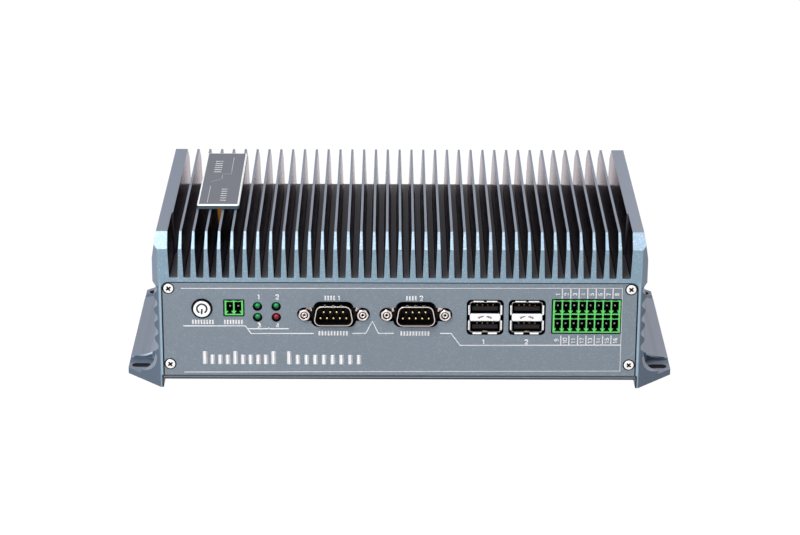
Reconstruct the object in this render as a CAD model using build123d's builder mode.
from build123d import *
import os

os.makedirs("parts", exist_ok=True)

# Fanless industrial computer: a finned aluminium extrusion closed by two end panels and a bottom
# cover, with a mainboard hung under the heat sink. All sizes are in millimetres. The origin is the
# centre of the footprint, on the surface that the feet stand on. X runs to the right as seen from
# the front, Y from front to rear and Z up.

# Driving dimensions: housing extrusion
depth = 125.0
fin_pitch = 5.5
gap_count = 36
fin_height = 19.0
fin_tip_width = 1.0
fin_root_width = 2.5
gap_floor_radius = 0.5
fin_end_chamfer = 6.0
sink_plate_thickness = 5.5
end_wall_width = 5.5
end_wall_bulge = 1.75
bulge_height = 8.0
notch_height = 2.5
notch_slope = 1.275
wall_relief_depth = 0.6
wall_relief_length = 30.0
side_rib_pitch = 6.6
side_rib_depth = 0.85
side_rib_set_back = 1.19
side_rib_count = 5
side_wall_thickness = 2.65
corner_cut_inset = 1.3

# Driving dimensions: foot flanges
foot_width = 14.0
foot_edge_height = 3.2
foot_root_height = 4.2
foot_pocket_floor = 2.8
foot_pocket_length = 17.0
foot_pocket_inset = 2.6
foot_pocket_radius = 3.0
mount_slot_length = 8.6
mount_slot_width = 4.5
mount_spacing_x = 225.8
mount_slot_inset = 18.0

# Driving dimensions: panels, cover and their screws
panel_height = 42.7
panel_thickness = 2.0
panel_corner_radius = 3.0
panel_gap = 0.3
recess_lip = 2.1
cover_standoff = 3.9
cover_thickness = 1.6
cover_gap = 0.2
screw_inset_x = 3.1
screw_inset_top = 2.8
screw_inset_bottom = 5.1
screw_boss_radius = 4.2
screw_shank_radius = 1.5
screw_head_radius = 2.6
screw_head_height = 1.1
screw_recess_length = 2.86
screw_recess_width = 0.78
screw_length = 9.0
hole_clearance = 0.1
fit_gap = 0.05
cover_screw_inset = 6.0
cover_screw_pitch = 40.0
cover_ledge_width = 9.0
cover_ledge_height = 2.4

# Driving dimensions: mainboard and what it carries
board_length = 188.0
board_end_gap = 2.5
board_thickness = 1.6
standoff_length = 20.8
standoff_radius = 2.75
standoff_pitch_x = 90.0
standoff_pitch_y = 66.0
stud_radius = 1.5
stud_length = 4.0
board_screw_head_radius = 2.75
board_screw_head_height = 1.8
processor_size = 32.0
processor_height = 3.0
pad_thickness = 0.5
heat_block_length = 60.0
heat_block_width = 46.0
memory_length = 67.6
memory_width = 30.0
memory_thickness = 1.0
memory_socket_width = 8.0
memory_socket_height = 4.0
memory_place = (-45.0, 10.0)
drive_length = 100.0
drive_width = 69.85
drive_height = 7.0
drive_place = (20.0, 0.0)
drive_hole_spacing_x = 76.6
drive_hole_spacing_y = 61.72
drive_screw_depth = 2.5
cell_radius = 10.0
cell_height = 3.2
cell_holder_rim = 1.6
cell_place = (60.0, -8.0)
capacitor_radius = 4.0
capacitor_height = 11.0
capacitor_pitch = 10.4
capacitor_place = (-50.0, 6.0)

# Driving dimensions: ports, with heights counted from the top of the board
power_button_x = -84.65
power_button_height = 12.3
button_radius = 3.65
button_proud = 1.0
button_travel = 0.8
button_length = 6.0
button_stem_radius = 1.5
button_clearance = 0.2
guide_radius = 4.5
guide_flange_radius = 6.0
guide_flange_thickness = 1.5
switch_width = 9.0
switch_depth = 6.0
power_terminal_x = -71.0
power_terminal_height = 12.55
led_x = -56.9
led_spacing_x = 8.0
led_spacing_z = 5.0
led_height = 10.75
led_radius = 1.5
led_hole_radius = 2.05
led_proud = 0.4
led_holder_margin = 1.0
serial_left_x = -28.4
serial_right_x = 6.85
serial_height = 9.75
usb_left_x = 36.55
usb_right_x = 54.5
usb_height = 8.55
signal_terminal_x = 80.0
signal_terminal_height = 9.05
rear_power_x = 83.0
rear_serial_left_x = 54.5
rear_serial_right_x = 19.5
rear_video_x = -15.5
rear_usb_x = -43.0
rear_lan_left_x = -63.0
rear_lan_right_x = -82.0

# Driving dimensions: D-shaped connectors
serial_recess = 3.5
serial_proud = 2.5
serial_shell_width = 16.9
serial_shell_height = 8.5
serial_shell_wall = 0.5
serial_shell_radius = 2.4
serial_side_angle = 80.0
serial_flange_width = 30.8
serial_flange_height = 12.5
serial_flange_thickness = 0.8
serial_cut_width = 20.4
serial_cut_height = 11.6
serial_cut_radius = 3.0
serial_ear_radius = 3.1
serial_body_width = 29.0
serial_body_depth = 9.0
serial_body_drop = 1.0
serial_floor = 1.2
serial_pin_pitch = 2.77
serial_row_pitch = 2.84
serial_pin_radius = 0.5
serial_pin_setback = 1.2
serial_pin_root = 2.0
jackscrew_spacing = 24.99
jackscrew_flats = 4.75
jackscrew_length = 5.0
jackscrew_thread_radius = 1.4
jackscrew_thread_length = 5.0
jackscrew_bore_depth = 4.0
video_row_pitch = 1.98
video_hole_pitch = 2.29
video_hole_radius = 0.45

# Driving dimensions: stacked bus sockets
usb_cut_width = 15.9
usb_cut_height = 16.2
usb_cut_radius = 2.0
usb_mouth_width = 12.6
usb_mouth_height = 5.0
usb_bridge_height = 3.3
usb_wall = 0.35
usb_proud = 0.4
usb_depth = 17.0
usb_mouth_depth = 11.0
usb_lip_thickness = 0.7
usb_lip_length = 1.4
usb_side_lip_height = 3.75
usb_end_lip_pitch = 5.92
usb_end_lip_width = 4.66
usb_root_depth = 3.0
usb_tongue_width = 11.0
usb_tongue_height = 1.9
usb_tongue_drop = 0.5
usb_tongue_setback = 1.2
usb_contact_pitch = 2.3
usb_contact_width = 1.0
usb_contact_height = 0.3

# Driving dimensions: green terminal headers
header_pitch = 3.5
header_wall = 0.45
header_row_pitch = 8.25
header_single_height = 6.65
header_floor = 0.5
header_depth = 11.5
header_mouth_depth = 8.0
header_neck_width = 1.4
header_flare_height = 1.4
header_rib = 0.6
header_flare_rib = 0.4
header_slot_height = 1.6
header_scallop_depth = 0.25
header_pin_width = 0.7
header_pin_setback = 2.6
header_tail_pitch = 2.5
header_cut_gap = 0.6
power_pitch = 5.08
power_poles = 3
power_header_height = 8.6

# Driving dimensions: network sockets
lan_width = 15.9
lan_body_height = 13.4
lan_depth = 18.0
lan_wall = 0.8
lan_mouth_width = 11.8
lan_mouth_height = 6.9
lan_mouth_depth = 13.0
lan_key_width = 6.0
lan_key_height = 1.6
lan_tab_width = 3.9
lan_tab_height = 1.3
lan_contact_count = 8
lan_contact_pitch = 1.02
lan_contact_width = 0.45
lan_contact_setback = 2.4
lan_proud = 0.4
lan_cut_gap = 0.3

# Driving dimensions: name plate on the fins
plate_length = 72.3
plate_width = 18.3
plate_thickness = 2.0
plate_corner_radius = 1.0
plate_bevel = 0.5
plate_left_x = -88.35
plate_front_y = -29.1
plate_pad_thickness = 0.4
plate_pad_margin = 3.0
plate_clip_height = 8.0
plate_clip_width = 2.1
plate_clip_tip_width = 1.2
plate_clip_length = 12.0

# Worked out from the driving dimensions
half_depth = depth / 2
cover_top = cover_standoff + cover_thickness
panel_bottom = cover_top + cover_gap
panel_top = panel_bottom + panel_height
gap_floor = panel_top + recess_lip
sink_top = gap_floor + fin_height
ceiling = gap_floor - sink_plate_thickness
gap_top_width = fin_pitch - fin_tip_width
gap_floor_width = fin_pitch - fin_root_width
last_gap_x = fin_pitch * (gap_count - 1) / 2
wall_top_x = last_gap_x + gap_top_width / 2 + end_wall_width
bulge_x = wall_top_x + end_wall_bulge
rib_mid_x = bulge_x - side_rib_set_back
cavity_half = rib_mid_x - side_wall_thickness
rib_top = gap_floor - notch_height - notch_slope
rib_bottom = rib_top - side_rib_count * side_rib_pitch
foot_edge_x = rib_mid_x + foot_width
mount_spacing_y = depth - 2 * mount_slot_inset
end_face_half = cavity_half + corner_cut_inset
panel_half = cavity_half - panel_gap
screw_x = cavity_half - screw_inset_x
screw_top = panel_top - screw_inset_top
screw_bottom = panel_bottom + screw_inset_bottom
board_width = depth - 2 * (panel_thickness + board_end_gap)
board_top = ceiling - standoff_length
board_bottom = board_top - board_thickness
serial_body_height = serial_height + serial_flange_height / 2 - serial_body_drop
processor_top = board_top + processor_height
plate_x = plate_left_x + plate_width / 2
plate_y = plate_front_y + plate_length / 2


def outward(x, height, end):
    """Plane on an end panel's outer face: local x to the viewer's right, y up, z out of it.

    end is -1 for the front and 1 for the rear. height is counted from the top of the board.
    """
    return Plane(
        origin=(x, end * half_depth, board_top + height),
        x_dir=(-end, 0, 0),
        z_dir=(0, end, 0),
    )


def grid_places(spacing_x, spacing_y, columns, rows):
    """Points of a grid centred on the origin of the plane in hand."""
    xs = [(i - (columns - 1) / 2) * spacing_x for i in range(columns)]
    ys = [(j - (rows - 1) / 2) * spacing_y for j in range(rows)]
    return [(x, y) for x in xs for y in ys]


def save(piece, name):
    """Label a finished piece and write it as its own STEP file."""
    piece.part.label = name
    export_step(piece.part, f"parts/{name}.step")


# Heat-sink extrusion: the whole body is one section, drawn on the XZ plane and pulled along Y.
# Its right half is drawn point by point and mirrored; every fin gap is the same tapered channel.
with BuildSketch(Plane.XZ) as fin_gap:
    with BuildLine():
        Polyline(
            (-gap_top_width / 2, sink_top),
            (-gap_floor_width / 2, gap_floor),
            (gap_floor_width / 2, gap_floor),
            (gap_top_width / 2, sink_top),
            close=True,
        )
    make_face()
    fillet(fin_gap.vertices().group_by(Axis.Y)[0], gap_floor_radius)

with BuildPart() as housing:
    with BuildSketch(Plane.XZ) as section:
        with BuildLine() as outline:
            Polyline(
                (0, ceiling),
                (0, sink_top),
                (wall_top_x, sink_top),
                (bulge_x, gap_floor + bulge_height),
                (bulge_x, gap_floor - notch_height),
                (rib_mid_x, rib_top),
            )
            for rib in range(side_rib_count):
                z = rib_top - rib * side_rib_pitch
                ThreePointArc(
                    (rib_mid_x, z),
                    (rib_mid_x - side_rib_depth, z - side_rib_pitch / 4),
                    (rib_mid_x, z - side_rib_pitch / 2),
                )
                ThreePointArc(
                    (rib_mid_x, z - side_rib_pitch / 2),
                    (rib_mid_x + side_rib_depth, z - side_rib_pitch * 3 / 4),
                    (rib_mid_x, z - side_rib_pitch),
                )
            foot_radius = rib_bottom - foot_root_height
            RadiusArc(
                (rib_mid_x, rib_bottom),
                (rib_mid_x + foot_radius, foot_root_height),
                -foot_radius,
            )
            Polyline(
                (rib_mid_x + foot_radius, foot_root_height),
                (foot_edge_x, foot_edge_height),
                (foot_edge_x, 0),
                (cavity_half, 0),
                (cavity_half, ceiling),
                (0, ceiling),
            )
        make_face()
        for z, top in ((screw_top, ceiling), (screw_bottom, 0)):
            with Locations((screw_x, z)):
                Circle(screw_boss_radius)
            with Locations(((screw_x + cavity_half) / 2, z)):
                Rectangle(cavity_half - screw_x, 2 * screw_boss_radius)
        ledge_x = cavity_half - cover_ledge_width / 2
        with Locations((ledge_x, cover_top + cover_ledge_height / 2)):
            Rectangle(cover_ledge_width, cover_ledge_height)
        mirror(about=Plane.YZ)
        with GridLocations(fin_pitch, 0, gap_count, 1):
            add(fin_gap.sketch, mode=Mode.SUBTRACT)
    extrude(amount=half_depth, both=True)
    # Screw bosses and the heat-sink plate step back at each end to take a panel
    recess_base = cover_standoff - cover_gap
    recess_height = panel_top + cover_gap - recess_base
    for end in (-1, 1):
        with BuildSketch(Plane.XZ.offset(-end * half_depth)) as recess:
            with Locations((0, recess_base + recess_height / 2)):
                Rectangle(2 * cavity_half, recess_height)
            fillet(recess.vertices().group_by(Axis.Y)[-1], panel_corner_radius)
        extrude(amount=end * panel_thickness, mode=Mode.SUBTRACT)
    # The end walls are milled thinner beside the first and last gap, near the front
    with BuildSketch(Plane.XZ.offset(half_depth)):
        with Locations((-last_gap_x - wall_relief_depth, 0), (last_gap_x + wall_relief_depth, 0)):
            add(fin_gap.sketch)
    extrude(amount=-wall_relief_length, mode=Mode.SUBTRACT)
    # The fin ends and wall tops are chamfered at 45 degrees, front and rear
    with BuildSketch(Plane.YZ):
        with BuildLine():
            Polyline(
                (half_depth, sink_top - fin_end_chamfer),
                (half_depth, sink_top),
                (half_depth - fin_end_chamfer, sink_top),
                close=True,
            )
        make_face()
        mirror(about=Plane.YZ)
    extrude(amount=bulge_x, both=True, mode=Mode.SUBTRACT)
    # One upright 45 degree cut trims wall, ribs and foot at each of the four corners
    corner_cut = foot_edge_x - end_face_half
    with BuildSketch(Plane.XY):
        with BuildLine():
            Polyline(
                (end_face_half, half_depth),
                (foot_edge_x, half_depth),
                (foot_edge_x, half_depth - corner_cut),
                close=True,
            )
        make_face()
        mirror(about=Plane.YZ)
        mirror(about=Plane.XZ)
    extrude(amount=sink_top, mode=Mode.SUBTRACT)
    # Milled seats and slots in the feet
    pocket_width = foot_edge_x - rib_mid_x
    pocket_x = rib_mid_x + foot_pocket_inset + pocket_width / 2
    with BuildSketch(Plane.XY.offset(foot_pocket_floor)):
        with GridLocations(2 * pocket_x, mount_spacing_y, 2, 2):
            RectangleRounded(pocket_width, foot_pocket_length, foot_pocket_radius)
    extrude(amount=rib_bottom, mode=Mode.SUBTRACT)
    with BuildSketch(Plane.XY):
        with GridLocations(mount_spacing_x, mount_spacing_y, 2, 2):
            SlotOverall(mount_slot_length, mount_slot_width)
    extrude(amount=foot_root_height, mode=Mode.SUBTRACT)
    # Tapped holes: panel screws in the bosses, cover screws in the ledges, standoffs in the ceiling
    for end in (-1, 1):
        with BuildSketch(Plane.XZ.offset(-end * (half_depth - panel_thickness))):
            with Locations(*[(x, z) for x in (-screw_x, screw_x) for z in (screw_bottom, screw_top)]):
                Circle(screw_shank_radius)
        extrude(amount=end * screw_length, mode=Mode.SUBTRACT)
    with BuildSketch(Plane.XY.offset(cover_top)):
        with GridLocations(2 * (cavity_half - cover_screw_inset), cover_screw_pitch, 2, 3):
            Circle(screw_shank_radius)
    extrude(amount=cover_ledge_height, mode=Mode.SUBTRACT)
    with BuildSketch(Plane.XY.offset(ceiling)):
        with GridLocations(standoff_pitch_x, standoff_pitch_y, 3, 2):
            Circle(stud_radius)
    extrude(amount=stud_length, mode=Mode.SUBTRACT)
save(housing, "housing")


# Outlines that a connector and its opening share, each drawn in the panel plane
def d_outline(width, height, radius):
    """The D outline, wide side down, inside the sketch in hand."""
    with BuildSketch() as outline_sketch:
        Trapezoid(width, height, serial_side_angle)
        fillet(outline_sketch.vertices(), radius)
    return outline_sketch.sketch


def header_width(poles, pitch):
    return poles * pitch + 2 * header_wall


def header_height(rows):
    return header_single_height + (rows - 1) * header_row_pitch


panel_screw_places = [(x, z - board_top) for x in (-screw_x, screw_x) for z in (screw_bottom, screw_top)]


def cut_serial(plane):
    """Opening for one D-shaped connector, drawn out sideways round both jackscrews."""
    with BuildSketch(plane) as opening:
        add(d_outline(serial_cut_width, serial_cut_height, serial_cut_radius))
        SlotCenterToCenter(jackscrew_spacing, 2 * serial_ear_radius)
    extrude(opening.sketch, amount=-panel_thickness, mode=Mode.SUBTRACT)


def cut_rounded(plane, width, height, radius):
    """Rounded rectangular opening through a panel."""
    with BuildSketch(plane) as opening:
        RectangleRounded(width, height, radius)
    extrude(opening.sketch, amount=-panel_thickness, mode=Mode.SUBTRACT)


def cut_round(plane, radius):
    """Round opening through a panel."""
    with BuildSketch(plane) as opening:
        Circle(radius)
    extrude(opening.sketch, amount=-panel_thickness, mode=Mode.SUBTRACT)


def blank_panel(end):
    """Plate with rounded upper corners and four countersunk holes, inside the part in hand."""
    face = outward(0, 0, end)
    middle = (panel_bottom + panel_top) / 2 - board_top
    with BuildSketch(face) as plate:
        with Locations((0, middle)):
            Rectangle(2 * panel_half, panel_height)
        fillet(plate.vertices().group_by(Axis.Y)[-1], panel_corner_radius)
    extrude(plate.sketch, amount=-panel_thickness)
    with Locations(face):
        with Locations(*panel_screw_places):
            CounterSinkHole(
                screw_shank_radius + hole_clearance,
                screw_head_radius + hole_clearance,
                depth=panel_thickness,
            )


# Ports on each panel: outward planes at their centres
power_button_plane = outward(power_button_x, power_button_height, -1)
power_terminal_plane = outward(power_terminal_x, power_terminal_height, -1)
led_plane = outward(led_x, led_height, -1)
front_serial_planes = {
    "front_serial_left": outward(serial_left_x, serial_height, -1),
    "front_serial_right": outward(serial_right_x, serial_height, -1),
}
front_usb_planes = {
    "front_usb_left": outward(usb_left_x, usb_height, -1),
    "front_usb_right": outward(usb_right_x, usb_height, -1),
}
signal_plane = outward(signal_terminal_x, signal_terminal_height, -1)
rear_serial_planes = {
    "rear_serial_left": outward(rear_serial_left_x, serial_height, 1),
    "rear_serial_right": outward(rear_serial_right_x, serial_height, 1),
}
rear_video_plane = outward(rear_video_x, serial_height, 1)
rear_usb_planes = {"rear_usb": outward(rear_usb_x, usb_height, 1)}
lan_height = lan_body_height / 2 + usb_wall
lan_planes = [outward(x, lan_height, 1) for x in (rear_lan_left_x, rear_lan_right_x)]
rear_power_height = power_header_height / 2 + header_cut_gap + usb_wall
rear_power_plane = outward(rear_power_x, rear_power_height, 1)

with BuildPart() as front_panel:
    blank_panel(-1)
    cut_round(power_button_plane, guide_radius + hole_clearance / 2)
    with BuildSketch(led_plane):
        with GridLocations(led_spacing_x, led_spacing_z, 2, 2):
            Circle(led_hole_radius)
    extrude(amount=-panel_thickness, mode=Mode.SUBTRACT)
    for port_plane in front_serial_planes.values():
        cut_serial(port_plane)
    for port_plane in front_usb_planes.values():
        cut_rounded(port_plane, usb_cut_width, usb_cut_height, usb_cut_radius)
    for port_plane, poles, rows in ((power_terminal_plane, 2, 1), (signal_plane, 8, 2)):
        cut_rounded(
            port_plane,
            header_width(poles, header_pitch) + 2 * header_cut_gap,
            header_height(rows) + 2 * header_cut_gap,
            header_cut_gap,
        )
save(front_panel, "front_panel")

with BuildPart() as rear_panel:
    blank_panel(1)
    for port_plane in (*rear_serial_planes.values(), rear_video_plane):
        cut_serial(port_plane)
    for port_plane in rear_usb_planes.values():
        cut_rounded(port_plane, usb_cut_width, usb_cut_height, usb_cut_radius)
    for port_plane in lan_planes:
        cut_rounded(
            port_plane, lan_width + 2 * lan_cut_gap, lan_body_height + 2 * lan_cut_gap, lan_cut_gap
        )
    cut_rounded(
        rear_power_plane,
        header_width(power_poles, power_pitch) + 2 * header_cut_gap,
        power_header_height + 2 * header_cut_gap,
        header_cut_gap,
    )
save(rear_panel, "rear_panel")

# Bottom cover: a flat plate under the ledges, held by screws from below
cover_outside = Plane(origin=(0, 0, cover_standoff), x_dir=(1, 0, 0), z_dir=(0, 0, -1))
cover_screw_grid = (2 * (cavity_half - cover_screw_inset), cover_screw_pitch, 2, 3)
drive_screw_grid = (drive_hole_spacing_x, drive_hole_spacing_y, 2, 2)
drive_outside = cover_outside * Location((drive_place[0], -drive_place[1], 0))
with BuildPart() as bottom_cover:
    with BuildSketch(Plane.XY.offset(cover_standoff)):
        Rectangle(2 * panel_half, depth)
    extrude(amount=cover_thickness)
    for outside, grid in ((cover_outside, cover_screw_grid), (drive_outside, drive_screw_grid)):
        with Locations(outside):
            with Locations(*grid_places(*grid)):
                CounterSinkHole(
                    screw_shank_radius + hole_clearance,
                    screw_head_radius + hole_clearance,
                    depth=cover_thickness,
                )
save(bottom_cover, "bottom_cover")


# Countersunk screws with a cross recess, driven inwards from each place on an outward plane
def countersunk_screws(plane, places, length):
    """One solid for each place: coned head flush with the plane, plain shank, cross recess."""
    shank_radius = screw_shank_radius - fit_gap
    with BuildPart() as screws:
        with BuildSketch(Plane.XZ) as screw_profile:
            with BuildLine():
                Polyline(
                    (0, 0),
                    (screw_head_radius, 0),
                    (shank_radius, -screw_head_height),
                    (shank_radius, -length),
                    (0, -length),
                    close=True,
                )
            make_face()
        screw = revolve(screw_profile.sketch, axis=Axis.Z, mode=Mode.PRIVATE)
        with BuildSketch() as cross:
            Rectangle(screw_recess_length, screw_recess_width)
            Rectangle(screw_recess_width, screw_recess_length)
        recess_cut = extrude(cross.sketch, amount=-screw_head_height, mode=Mode.PRIVATE)
        with Locations(plane):
            with Locations(*places):
                add(screw)
                add(recess_cut, mode=Mode.SUBTRACT)
    return screws


for end, name in ((-1, "front_panel_screws"), (1, "rear_panel_screws")):
    save(countersunk_screws(outward(0, 0, end), panel_screw_places, screw_length), name)
cover_screw_length = cover_thickness + cover_ledge_height
save(
    countersunk_screws(cover_outside, grid_places(*cover_screw_grid), cover_screw_length),
    "bottom_cover_screws",
)
save(
    countersunk_screws(
        drive_outside, grid_places(*drive_screw_grid), cover_thickness + drive_screw_depth
    ),
    "drive_screws",
)

# Name plate: a bevelled plate on a pad across the fins, with a spring clip against one fin
with BuildPart() as name_plate:
    with BuildSketch(Plane.XY.offset(sink_top + plate_pad_thickness)):
        with Locations((plate_x, plate_y)):
            RectangleRounded(plate_width, plate_length, plate_corner_radius)
    extrude(amount=plate_thickness)
    chamfer(name_plate.faces().sort_by(Axis.Z)[-1].edges(), plate_bevel)
save(name_plate, "name_plate")

with BuildPart() as name_plate_pad:
    with BuildSketch(Plane.XY.offset(sink_top)):
        with Locations((plate_x, plate_y)):
            Rectangle(plate_width - plate_pad_margin, plate_length - plate_pad_margin)
    extrude(amount=plate_pad_thickness)
save(name_plate_pad, "name_plate_pad")

# The clip hangs from the pad in the gap that lies nearest the middle of the plate
clip_gap_index = round((plate_x + last_gap_x) / fin_pitch)
clip_x = clip_gap_index * fin_pitch - last_gap_x
clip_front_y = plate_front_y + plate_pad_margin / 2
with BuildPart() as name_plate_clip:
    with BuildSketch(Plane.XZ.offset(-clip_front_y)):
        with BuildLine():
            flank_lean = (gap_top_width - gap_floor_width) / 2 / fin_height
            clip_right = clip_x + gap_top_width / 2
            clip_tip = clip_right - flank_lean * plate_clip_height
            Polyline(
                (clip_right - plate_clip_width, sink_top),
                (clip_tip - plate_clip_tip_width, sink_top - plate_clip_height),
                (clip_tip, sink_top - plate_clip_height),
                (clip_right, sink_top),
                close=True,
            )
        make_face()
    extrude(amount=-plate_clip_length)
save(name_plate_clip, "name_plate_clip")

# Power button: a cap that slides in a guide ring held in the panel, with a stem into its switch
cap_back = button_proud - button_length
switch_face = cap_back - button_travel - button_clearance
guide_back = -panel_thickness - guide_flange_thickness
with BuildPart() as power_button:
    with BuildSketch(power_button_plane.offset(cap_back)):
        Circle(button_radius)
    extrude(amount=button_length)
    chamfer(power_button.edges().filter_by(GeomType.CIRCLE).sort_by(Axis.Y)[0], button_clearance)
    with BuildSketch(power_button_plane.offset(switch_face - button_travel)):
        Circle(button_stem_radius)
    extrude(amount=button_travel + cap_back - switch_face)
save(power_button, "power_button")

with BuildPart() as power_button_guide:
    with BuildSketch(power_button_plane.offset(guide_back)):
        Circle(guide_flange_radius)
    extrude(amount=guide_flange_thickness)
    with BuildSketch(power_button_plane.offset(-panel_thickness)):
        Circle(guide_radius)
    extrude(amount=panel_thickness + button_clearance)
    with BuildSketch(power_button_plane.offset(guide_back)):
        Circle(button_radius + button_clearance)
    extrude(amount=depth, mode=Mode.SUBTRACT)
save(power_button_guide, "power_button_guide")

with BuildPart() as power_switch:
    switch_top = power_button_height + switch_width / 2
    with BuildSketch(outward(power_button_x, switch_top / 2, -1).offset(switch_face)):
        Rectangle(switch_width, switch_top)
    extrude(amount=-switch_depth)
    with BuildSketch(power_button_plane.offset(switch_face)):
        Circle(button_stem_radius + button_clearance)
    extrude(amount=-2 * button_travel - button_clearance, mode=Mode.SUBTRACT)
save(power_switch, "power_switch")

# Status lights: domed lenses that stand in the panel holes, on one holder soldered to the board
led_front = led_proud - led_radius
led_back = -panel_thickness - button_clearance
with BuildPart() as led_holder:
    holder_height = led_height + led_spacing_z / 2 + led_radius + led_holder_margin
    holder_width = led_spacing_x + 2 * (led_radius + led_holder_margin)
    with BuildSketch(outward(led_x, holder_height / 2, -1).offset(led_back)):
        Rectangle(holder_width, holder_height)
    extrude(amount=-switch_depth)
save(led_holder, "led_holder")


def led_lenses(places):
    """Lenses at places on the LED plane: a round rod with a half-ball end."""
    with BuildPart() as lenses:
        with BuildSketch(Plane.XZ) as lens_profile:
            with BuildLine():
                Polyline((0, led_front + led_radius), (0, led_back), (led_radius, led_back))
                Line((led_radius, led_back), (led_radius, led_front))
                RadiusArc((led_radius, led_front), (0, led_front + led_radius), -led_radius)
            make_face()
        lens = revolve(lens_profile.sketch, axis=Axis.Z, mode=Mode.PRIVATE)
        with Locations(led_plane):
            with Locations(*places):
                add(lens)
    return lenses


red_place = (led_spacing_x / 2, -led_spacing_z / 2)
green_places = [(-led_spacing_x / 2, led_spacing_z / 2), (-led_spacing_x / 2, -led_spacing_z / 2)]
green_places.append((led_spacing_x / 2, led_spacing_z / 2))
save(led_lenses(green_places), "green_lenses")
save(led_lenses([red_place]), "red_lens")


# D-shaped connectors: tin shell, plastic body, round pins and hexagonal jackscrews
def serial_shell(plane):
    """Flange behind the panel with a D-shaped tube standing out through the opening."""
    with BuildPart() as shell:
        with BuildSketch(plane.offset(-serial_recess)) as flange:
            RectangleRounded(serial_flange_width, serial_flange_height, serial_flange_thickness)
            with GridLocations(jackscrew_spacing, 0, 2, 1):
                Circle(jackscrew_thread_radius + hole_clearance, mode=Mode.SUBTRACT)
        extrude(flange.sketch, amount=-serial_flange_thickness)
        with BuildSketch(plane.offset(-serial_recess)) as tube:
            add(d_outline(serial_shell_width, serial_shell_height, serial_shell_radius))
        extrude(tube.sketch, amount=serial_recess + serial_proud)
        with BuildSketch(plane.offset(serial_proud)) as bore:
            add(d_bore(0))
        bore_depth = serial_proud + serial_recess + serial_flange_thickness
        extrude(bore.sketch, amount=-bore_depth, mode=Mode.SUBTRACT)
    return shell


def d_bore(clearance):
    """Inside outline of the tube, smaller by a clearance all round."""
    inset = serial_shell_wall + clearance
    return d_outline(
        serial_shell_width - 2 * inset, serial_shell_height - 2 * inset, serial_shell_radius - inset
    )


def serial_body(plane, face, hole_places, hole_radius, hole_depth):
    """Plastic body on the board, its front a D-shaped plug inside the tube, with contact holes."""
    back = -serial_recess - serial_flange_thickness
    with BuildPart() as body:
        with BuildSketch(plane.offset(back)) as block:
            with Locations((0, (serial_body_height - 2 * serial_height) / 2)):
                Rectangle(serial_body_width, serial_body_height)
            with GridLocations(jackscrew_spacing, 0, 2, 1):
                Circle(jackscrew_thread_radius + hole_clearance, mode=Mode.SUBTRACT)
        extrude(block.sketch, amount=-serial_body_depth)
        with BuildSketch(plane.offset(back)) as plug:
            add(d_bore(fit_gap))
        extrude(plug.sketch, amount=face - back)
        with BuildSketch(plane.offset(face)) as holes:
            with Locations(*hole_places):
                Circle(hole_radius)
        extrude(holes.sketch, amount=-hole_depth, mode=Mode.SUBTRACT)
    return body


def row_places(count, pitch, y):
    return [((i - (count - 1) / 2) * pitch, y) for i in range(count)]


serial_pin_places = row_places(5, serial_pin_pitch, -serial_row_pitch / 2)
serial_pin_places += row_places(4, serial_pin_pitch, serial_row_pitch / 2)
serial_face = -serial_recess + serial_floor


def serial_pins(planes):
    """Nine round pins in each connector, standing in the plug's holes."""
    with BuildPart() as pins:
        for plane in planes:
            with BuildSketch(plane.offset(serial_face - serial_pin_root)) as feet:
                with Locations(*serial_pin_places):
                    Circle(serial_pin_radius)
            extrude(feet.sketch, amount=serial_pin_root - serial_face + serial_proud - serial_pin_setback)
    return pins


def jackscrews(planes):
    """Two hexagonal standoff screws in each flange, with a blind threaded bore."""
    with BuildPart() as screws:
        for plane in planes:
            with BuildSketch(plane.offset(-serial_recess)) as hexagons:
                with GridLocations(jackscrew_spacing, 0, 2, 1):
                    RegularPolygon(jackscrew_flats / 2, 6, major_radius=False)
            extrude(hexagons.sketch, amount=jackscrew_length)
            with BuildSketch(plane.offset(-serial_recess)) as studs:
                with GridLocations(jackscrew_spacing, 0, 2, 1):
                    Circle(jackscrew_thread_radius)
            extrude(studs.sketch, amount=-jackscrew_thread_length)
            with BuildSketch(plane.offset(-serial_recess + jackscrew_length)) as bores:
                with GridLocations(jackscrew_spacing, 0, 2, 1):
                    Circle(jackscrew_thread_radius)
            extrude(bores.sketch, amount=-jackscrew_bore_depth, mode=Mode.SUBTRACT)
    return screws


for name, plane in {**front_serial_planes, **rear_serial_planes}.items():
    save(serial_shell(plane), f"{name}_shell")
    pin_hole = (serial_pin_radius + fit_gap, serial_pin_root)
    save(serial_body(plane, serial_face, serial_pin_places, *pin_hole), f"{name}_body")
save(serial_pins(front_serial_planes.values()), "front_serial_pins")
save(serial_pins(rear_serial_planes.values()), "rear_serial_pins")
save(jackscrews(front_serial_planes.values()), "front_jackscrews")
save(jackscrews([*rear_serial_planes.values(), rear_video_plane]), "rear_jackscrews")

video_places = [
    place for row in (-1, 0, 1) for place in row_places(5, video_hole_pitch, row * video_row_pitch)
]
save(serial_shell(rear_video_plane), "rear_video_shell")
save(
    serial_body(
        rear_video_plane, serial_proud - serial_shell_wall, video_places, video_hole_radius, serial_recess
    ),
    "rear_video_body",
)

# Stacked bus sockets: a folded tin box with two mouths, lips pressed against the panel opening
usb_shell_width = usb_mouth_width + 2 * usb_wall
usb_shell_height = 2 * usb_mouth_height + usb_bridge_height + 2 * usb_wall
usb_mouth_offset = (usb_mouth_height + usb_bridge_height) / 2


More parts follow.
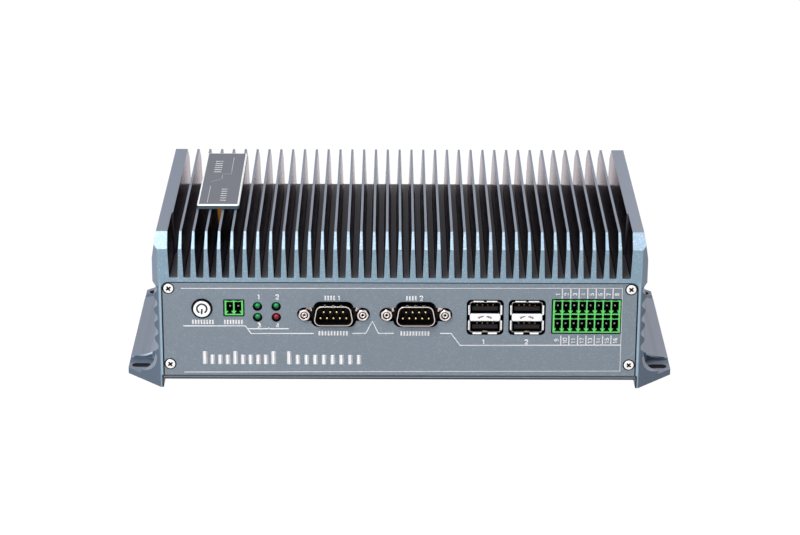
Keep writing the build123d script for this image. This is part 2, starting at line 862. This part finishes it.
def usb_shell(plane):
    """Tin box around two mouths, with a foot down to the board and eight short lips."""
    foot_height = usb_height - usb_shell_height / 2
    foot_front = -panel_thickness - usb_lip_thickness
    lip_x = (usb_shell_width + usb_lip_thickness) / 2
    lip_y = (usb_shell_height + usb_lip_thickness) / 2
    with BuildPart() as shell:
        with BuildSketch(plane.offset(usb_proud)) as box:
            Rectangle(usb_shell_width, usb_shell_height)
        extrude(box.sketch, amount=-usb_proud - usb_depth)
        with BuildSketch(plane.offset(foot_front)) as foot:
            with Locations((0, (foot_height / 2 - usb_height))):
                Rectangle(usb_mouth_width, foot_height)
        extrude(foot.sketch, amount=-usb_depth - foot_front)
        with BuildSketch(plane.offset(usb_proud)) as lips:
            with GridLocations(2 * lip_x, 2 * usb_mouth_offset, 2, 2):
                Rectangle(usb_lip_thickness, usb_side_lip_height)
            with GridLocations(usb_end_lip_pitch, 2 * lip_y, 2, 2):
                Rectangle(usb_end_lip_width, usb_lip_thickness)
        extrude(lips.sketch, amount=-usb_lip_length)
        with BuildSketch(plane.offset(usb_proud)) as mouths:
            with GridLocations(0, 2 * usb_mouth_offset, 1, 2):
                Rectangle(usb_mouth_width, usb_mouth_height)
        extrude(mouths.sketch, amount=-usb_proud - usb_mouth_depth - usb_root_depth, mode=Mode.SUBTRACT)
    return shell


def usb_tongues(plane):
    """Two black insulators, each a root block that fills its mouth and a tongue towards the front."""
    with BuildPart() as tongues:
        with BuildSketch(plane.offset(-usb_mouth_depth)) as roots:
            with GridLocations(0, 2 * usb_mouth_offset, 1, 2):
                Rectangle(usb_mouth_width - 2 * fit_gap, usb_mouth_height - 2 * fit_gap)
        extrude(roots.sketch, amount=-usb_root_depth)
        with BuildSketch(plane.offset(-usb_tongue_setback)) as plates:
            with Locations((0, -usb_tongue_drop)):
                with GridLocations(0, 2 * usb_mouth_offset, 1, 2):
                    Rectangle(usb_tongue_width, usb_tongue_height)
        extrude(plates.sketch, amount=usb_tongue_setback - usb_mouth_depth)
    return tongues


def usb_contacts(planes):
    """Four gilt strips on the upper side of each tongue."""
    contact_y = (usb_tongue_height + usb_contact_height) / 2 - usb_tongue_drop
    with BuildPart() as contacts:
        for plane in planes:
            with BuildSketch(plane.offset(-usb_tongue_setback - usb_contact_width)) as strips:
                with Locations((0, contact_y)):
                    with GridLocations(usb_contact_pitch, 2 * usb_mouth_offset, 4, 2):
                        Rectangle(usb_contact_width, usb_contact_height)
            strip_length = usb_mouth_depth - usb_tongue_setback - usb_contact_width
            extrude(strips.sketch, amount=-strip_length)
    return contacts


for name, plane in {**front_usb_planes, **rear_usb_planes}.items():
    save(usb_shell(plane), f"{name}_shell")
    save(usb_tongues(plane), f"{name}_tongues")
save(usb_contacts(front_usb_planes.values()), "front_usb_contacts")
save(usb_contacts(rear_usb_planes.values()), "rear_usb_contacts")


# Green terminal headers: a keyed mouth for each pole, with bent square pins
def header_row_offsets(rows):
    return [(row - (rows - 1) / 2) * header_row_pitch for row in range(rows)]


def header_places(poles, pitch, rows):
    return [place for y in header_row_offsets(rows) for place in row_places(poles, pitch, y)]


def keyed_mouth(pitch, single_height):
    """Mouth outline of one pole: a slot that narrows to a neck and flares again at its floor."""
    half_mouth = (pitch - header_rib) / 2
    half_flare = (pitch - header_flare_rib) / 2
    half_neck = header_neck_width / 2
    top = single_height / 2 - header_floor
    neck = -top + header_flare_height
    with BuildSketch() as mouth:
        with BuildLine():
            Polyline(
                (-half_mouth, top),
                (half_mouth, top),
                (half_mouth, neck),
                (half_neck, neck),
                (half_flare, -top),
                (-half_flare, -top),
                (-half_neck, neck),
                (-half_mouth, neck),
                close=True,
            )
        make_face()
    return mouth.sketch


def header_scallop(pitch):
    """Shallow arc let into the top edge of one pole."""
    half = (pitch - header_rib) / 2
    with BuildSketch() as scallop:
        with BuildLine():
            ThreePointArc((-half, 0), (0, -header_scallop_depth), (half, 0))
            Line((half, 0), (-half, 0))
        make_face()
    return scallop.sketch


def header_body(plane, height, poles, pitch, rows, single_height):
    """Plastic block with its keyed mouths, small slots between two rows and holes for the pins."""
    block_height = single_height + (rows - 1) * header_row_pitch
    mouth = keyed_mouth(pitch, single_height)
    foot_height = height - block_height / 2
    foot_front = -panel_thickness - header_cut_gap
    with BuildPart() as body:
        with BuildSketch(plane) as block:
            Rectangle(header_width(poles, pitch), block_height)
        extrude(block.sketch, amount=-header_depth)
        with BuildSketch(plane.offset(foot_front)) as foot:
            with Locations((0, foot_height / 2 - height)):
                Rectangle(header_width(poles, pitch), foot_height)
        extrude(foot.sketch, amount=-header_depth - foot_front)
        with BuildSketch(plane) as mouths:
            with Locations(*header_places(poles, pitch, rows)):
                add(mouth)
            with Locations(*row_places(poles, pitch, block_height / 2)):
                add(header_scallop(pitch))
            if rows > 1:
                with GridLocations(pitch, header_row_pitch, poles, rows - 1):
                    Rectangle(pitch - header_rib, header_slot_height)
                with Locations(*row_places(poles, pitch, -header_slot_height / 2)):
                    add(header_scallop(pitch))
        extrude(mouths.sketch, amount=-header_mouth_depth, mode=Mode.SUBTRACT)
        with BuildSketch(plane) as pin_holes:
            with Locations(*header_places(poles, pitch, rows)):
                Rectangle(header_pin_width + 2 * fit_gap, header_pin_width + 2 * fit_gap)
        extrude(pin_holes.sketch, amount=-header_depth, mode=Mode.SUBTRACT)
    return body


def header_pins(plane, height, poles, pitch, rows):
    """Square pins, bent down behind the block to the top of the board."""
    with BuildPart() as pins:
        for row, y in enumerate(header_row_offsets(rows)):
            tail = header_depth + fit_gap + row * header_tail_pitch
            with BuildSketch(plane.offset(-header_pin_setback)) as blades:
                with Locations(*row_places(poles, pitch, y)):
                    Rectangle(header_pin_width, header_pin_width)
            extrude(blades.sketch, amount=header_pin_setback - tail)
            tail_length = height + y + header_pin_width / 2
            with BuildSketch(plane.offset(-tail)) as tails:
                with Locations(*row_places(poles, pitch, tail_length / 2 - height)):
                    Rectangle(header_pin_width, tail_length)
            extrude(tails.sketch, amount=-header_pin_width)
    return pins


headers = {
    "power_terminal": (
        power_terminal_plane, power_terminal_height, 2, header_pitch, 1, header_single_height
    ),
    "signal_terminal": (
        signal_plane, signal_terminal_height, 8, header_pitch, 2, header_single_height
    ),
    "rear_power_terminal": (
        rear_power_plane, rear_power_height, power_poles, power_pitch, 1, power_header_height
    ),
}
for name, sizes in headers.items():
    save(header_body(*sizes), f"{name}_body")
    save(header_pins(*sizes[:-1]), f"{name}_pins")

# Network sockets: tin can, black insert with a keyed mouth, and a row of gilt contact wires
lan_insert_width = lan_width - 2 * (lan_wall + fit_gap)
lan_insert_height = lan_body_height - 2 * (lan_wall + fit_gap)
lan_key_top = lan_mouth_height + lan_key_height + lan_tab_height
lan_mouth_floor = -lan_key_top / 2
with BuildPart() as lan_shells:
    for plane in lan_planes:
        with BuildSketch(plane.offset(lan_proud)) as cans:
            Rectangle(lan_width, lan_body_height)
        extrude(amount=-lan_depth)
        with BuildSketch(plane.offset(lan_proud)) as windows:
            Rectangle(lan_width - 2 * lan_wall, lan_body_height - 2 * lan_wall)
        extrude(amount=lan_wall - lan_depth, mode=Mode.SUBTRACT)
save(lan_shells, "lan_shells")

with BuildPart() as lan_inserts:
    for plane in lan_planes:
        with BuildSketch(plane.offset(lan_proud - lan_wall)):
            Rectangle(lan_insert_width, lan_insert_height)
        extrude(amount=2 * lan_wall - lan_depth)
        with BuildSketch(plane.offset(lan_proud)):
            for width, height, base in (
                (lan_mouth_width, lan_mouth_height, 0),
                (lan_key_width, lan_key_height, lan_mouth_height),
                (lan_tab_width, lan_tab_height, lan_mouth_height + lan_key_height),
            ):
                with Locations((0, lan_mouth_floor + base + height / 2)):
                    Rectangle(width, height)
        extrude(amount=-lan_mouth_depth, mode=Mode.SUBTRACT)
save(lan_inserts, "lan_inserts")

with BuildPart() as lan_contacts:
    for plane in lan_planes:
        with BuildSketch(plane.offset(lan_proud - lan_contact_setback)):
            with Locations((0, lan_mouth_floor + lan_contact_width / 2)):
                with GridLocations(lan_contact_pitch, 0, lan_contact_count, 1):
                    Rectangle(lan_contact_width, lan_contact_width)
        extrude(amount=lan_contact_setback - lan_mouth_depth)
save(lan_contacts, "lan_contacts")

# Mainboard, hung from the heat-sink plate by six standoffs
standoff_grid = (standoff_pitch_x, standoff_pitch_y, 3, 2)
with BuildPart() as mainboard:
    with BuildSketch(Plane.XY.offset(board_bottom)):
        Rectangle(board_length, board_width)
        with GridLocations(*standoff_grid):
            Circle(stud_radius + hole_clearance, mode=Mode.SUBTRACT)
    extrude(amount=board_thickness)
save(mainboard, "mainboard")

board_screw_reach = board_thickness + stud_length
with BuildPart() as board_standoffs:
    with BuildSketch(Plane.XY.offset(board_top)):
        with GridLocations(*standoff_grid):
            RegularPolygon(standoff_radius, 6, major_radius=False)
            Circle(stud_radius, mode=Mode.SUBTRACT)
    extrude(amount=stud_length)
    with BuildSketch(Plane.XY.offset(board_top + stud_length)):
        with GridLocations(*standoff_grid):
            RegularPolygon(standoff_radius, 6, major_radius=False)
    extrude(amount=standoff_length - stud_length)
    with BuildSketch(Plane.XY.offset(ceiling)):
        with GridLocations(*standoff_grid):
            Circle(stud_radius - fit_gap)
    extrude(amount=stud_length - fit_gap)
save(board_standoffs, "board_standoffs")

with BuildPart() as board_screws:
    with BuildSketch(Plane.XY.offset(board_bottom)):
        with GridLocations(*standoff_grid):
            Circle(board_screw_head_radius)
    extrude(amount=-board_screw_head_height)
    with BuildSketch(Plane.XY.offset(board_bottom)):
        with GridLocations(*standoff_grid):
            Circle(stud_radius - fit_gap)
    extrude(amount=board_screw_reach - fit_gap)
save(board_screws, "board_screws")

# Heat path: processor, soft pad and solid block up to the heat-sink plate
with BuildPart() as processor:
    with BuildSketch(Plane.XY.offset(board_top)):
        RectangleRounded(processor_size, processor_size, pad_thickness)
    extrude(amount=processor_height)
    chamfer(processor.faces().sort_by(Axis.Z)[-1].edges(), pad_thickness)
save(processor, "processor")

with BuildPart() as heat_pad:
    with BuildSketch(Plane.XY.offset(processor_top)):
        Rectangle(processor_size - 2 * pad_thickness, processor_size - 2 * pad_thickness)
    extrude(amount=pad_thickness)
save(heat_pad, "heat_pad")

with BuildPart() as heat_block:
    with BuildSketch(Plane.XY.offset(processor_top + pad_thickness)):
        Rectangle(heat_block_length, heat_block_width)
    extrude(amount=ceiling - processor_top - pad_thickness)
save(heat_block, "heat_block")

# Memory in its edge socket under the board
memory_z = board_bottom - memory_socket_height / 2
memory_edge_y = memory_place[1] - (memory_width + memory_socket_width) / 2
with BuildPart() as memory_socket:
    with BuildSketch(Plane.XY.offset(board_bottom)):
        with Locations((memory_place[0], memory_edge_y)):
            Rectangle(memory_length + memory_socket_width, memory_socket_width)
    extrude(amount=-memory_socket_height)
    with BuildSketch(Plane.XY.offset(memory_z - memory_thickness / 2 - fit_gap)):
        with Locations((memory_place[0], memory_edge_y + memory_socket_width / 4)):
            Rectangle(memory_length + 2 * fit_gap, memory_socket_width / 2)
    extrude(amount=memory_thickness + 2 * fit_gap, mode=Mode.SUBTRACT)
save(memory_socket, "memory_socket")

with BuildPart() as memory_module:
    with BuildSketch(Plane.XY.offset(memory_z - memory_thickness / 2)):
        with Locations((memory_place[0], memory_place[1])):
            Rectangle(memory_length, memory_width)
    extrude(amount=memory_thickness)
save(memory_module, "memory_module")

# Solid-state drive on the bottom cover
with BuildPart() as solid_state_drive:
    with BuildSketch(Plane.XY.offset(cover_top)):
        with Locations(drive_place):
            RectangleRounded(drive_length, drive_width, screw_shank_radius)
    extrude(amount=drive_height)
    with BuildSketch(Plane.XY.offset(cover_top)):
        with Locations(drive_place):
            with GridLocations(*drive_screw_grid):
                Circle(screw_shank_radius)
    extrude(amount=drive_screw_depth, mode=Mode.SUBTRACT)
save(solid_state_drive, "solid_state_drive")

# Clock cell in its holder
cell_top = board_top + cell_holder_rim + cell_height
with BuildPart() as cell_holder:
    with BuildSketch(Plane.XY.offset(board_top)):
        with Locations(cell_place):
            Circle(cell_radius + cell_holder_rim)
    extrude(amount=cell_holder_rim + cell_height / 2)
    with BuildSketch(Plane.XY.offset(cell_top)):
        with Locations(cell_place):
            Circle(cell_radius + fit_gap)
    extrude(amount=-cell_height, mode=Mode.SUBTRACT)
save(cell_holder, "cell_holder")

with BuildPart() as clock_cell:
    with BuildSketch(Plane.XY.offset(cell_top - cell_height)):
        with Locations(cell_place):
            Circle(cell_radius)
    extrude(amount=cell_height)
save(clock_cell, "clock_cell")

# Power-supply capacitors beside the heat block
with BuildPart() as capacitors:
    with BuildSketch(Plane.XY.offset(board_top)):
        with Locations(capacitor_place):
            with GridLocations(0, capacitor_pitch, 1, 3):
                Circle(capacitor_radius)
    extrude(amount=capacitor_height)
save(capacitors, "capacitors")
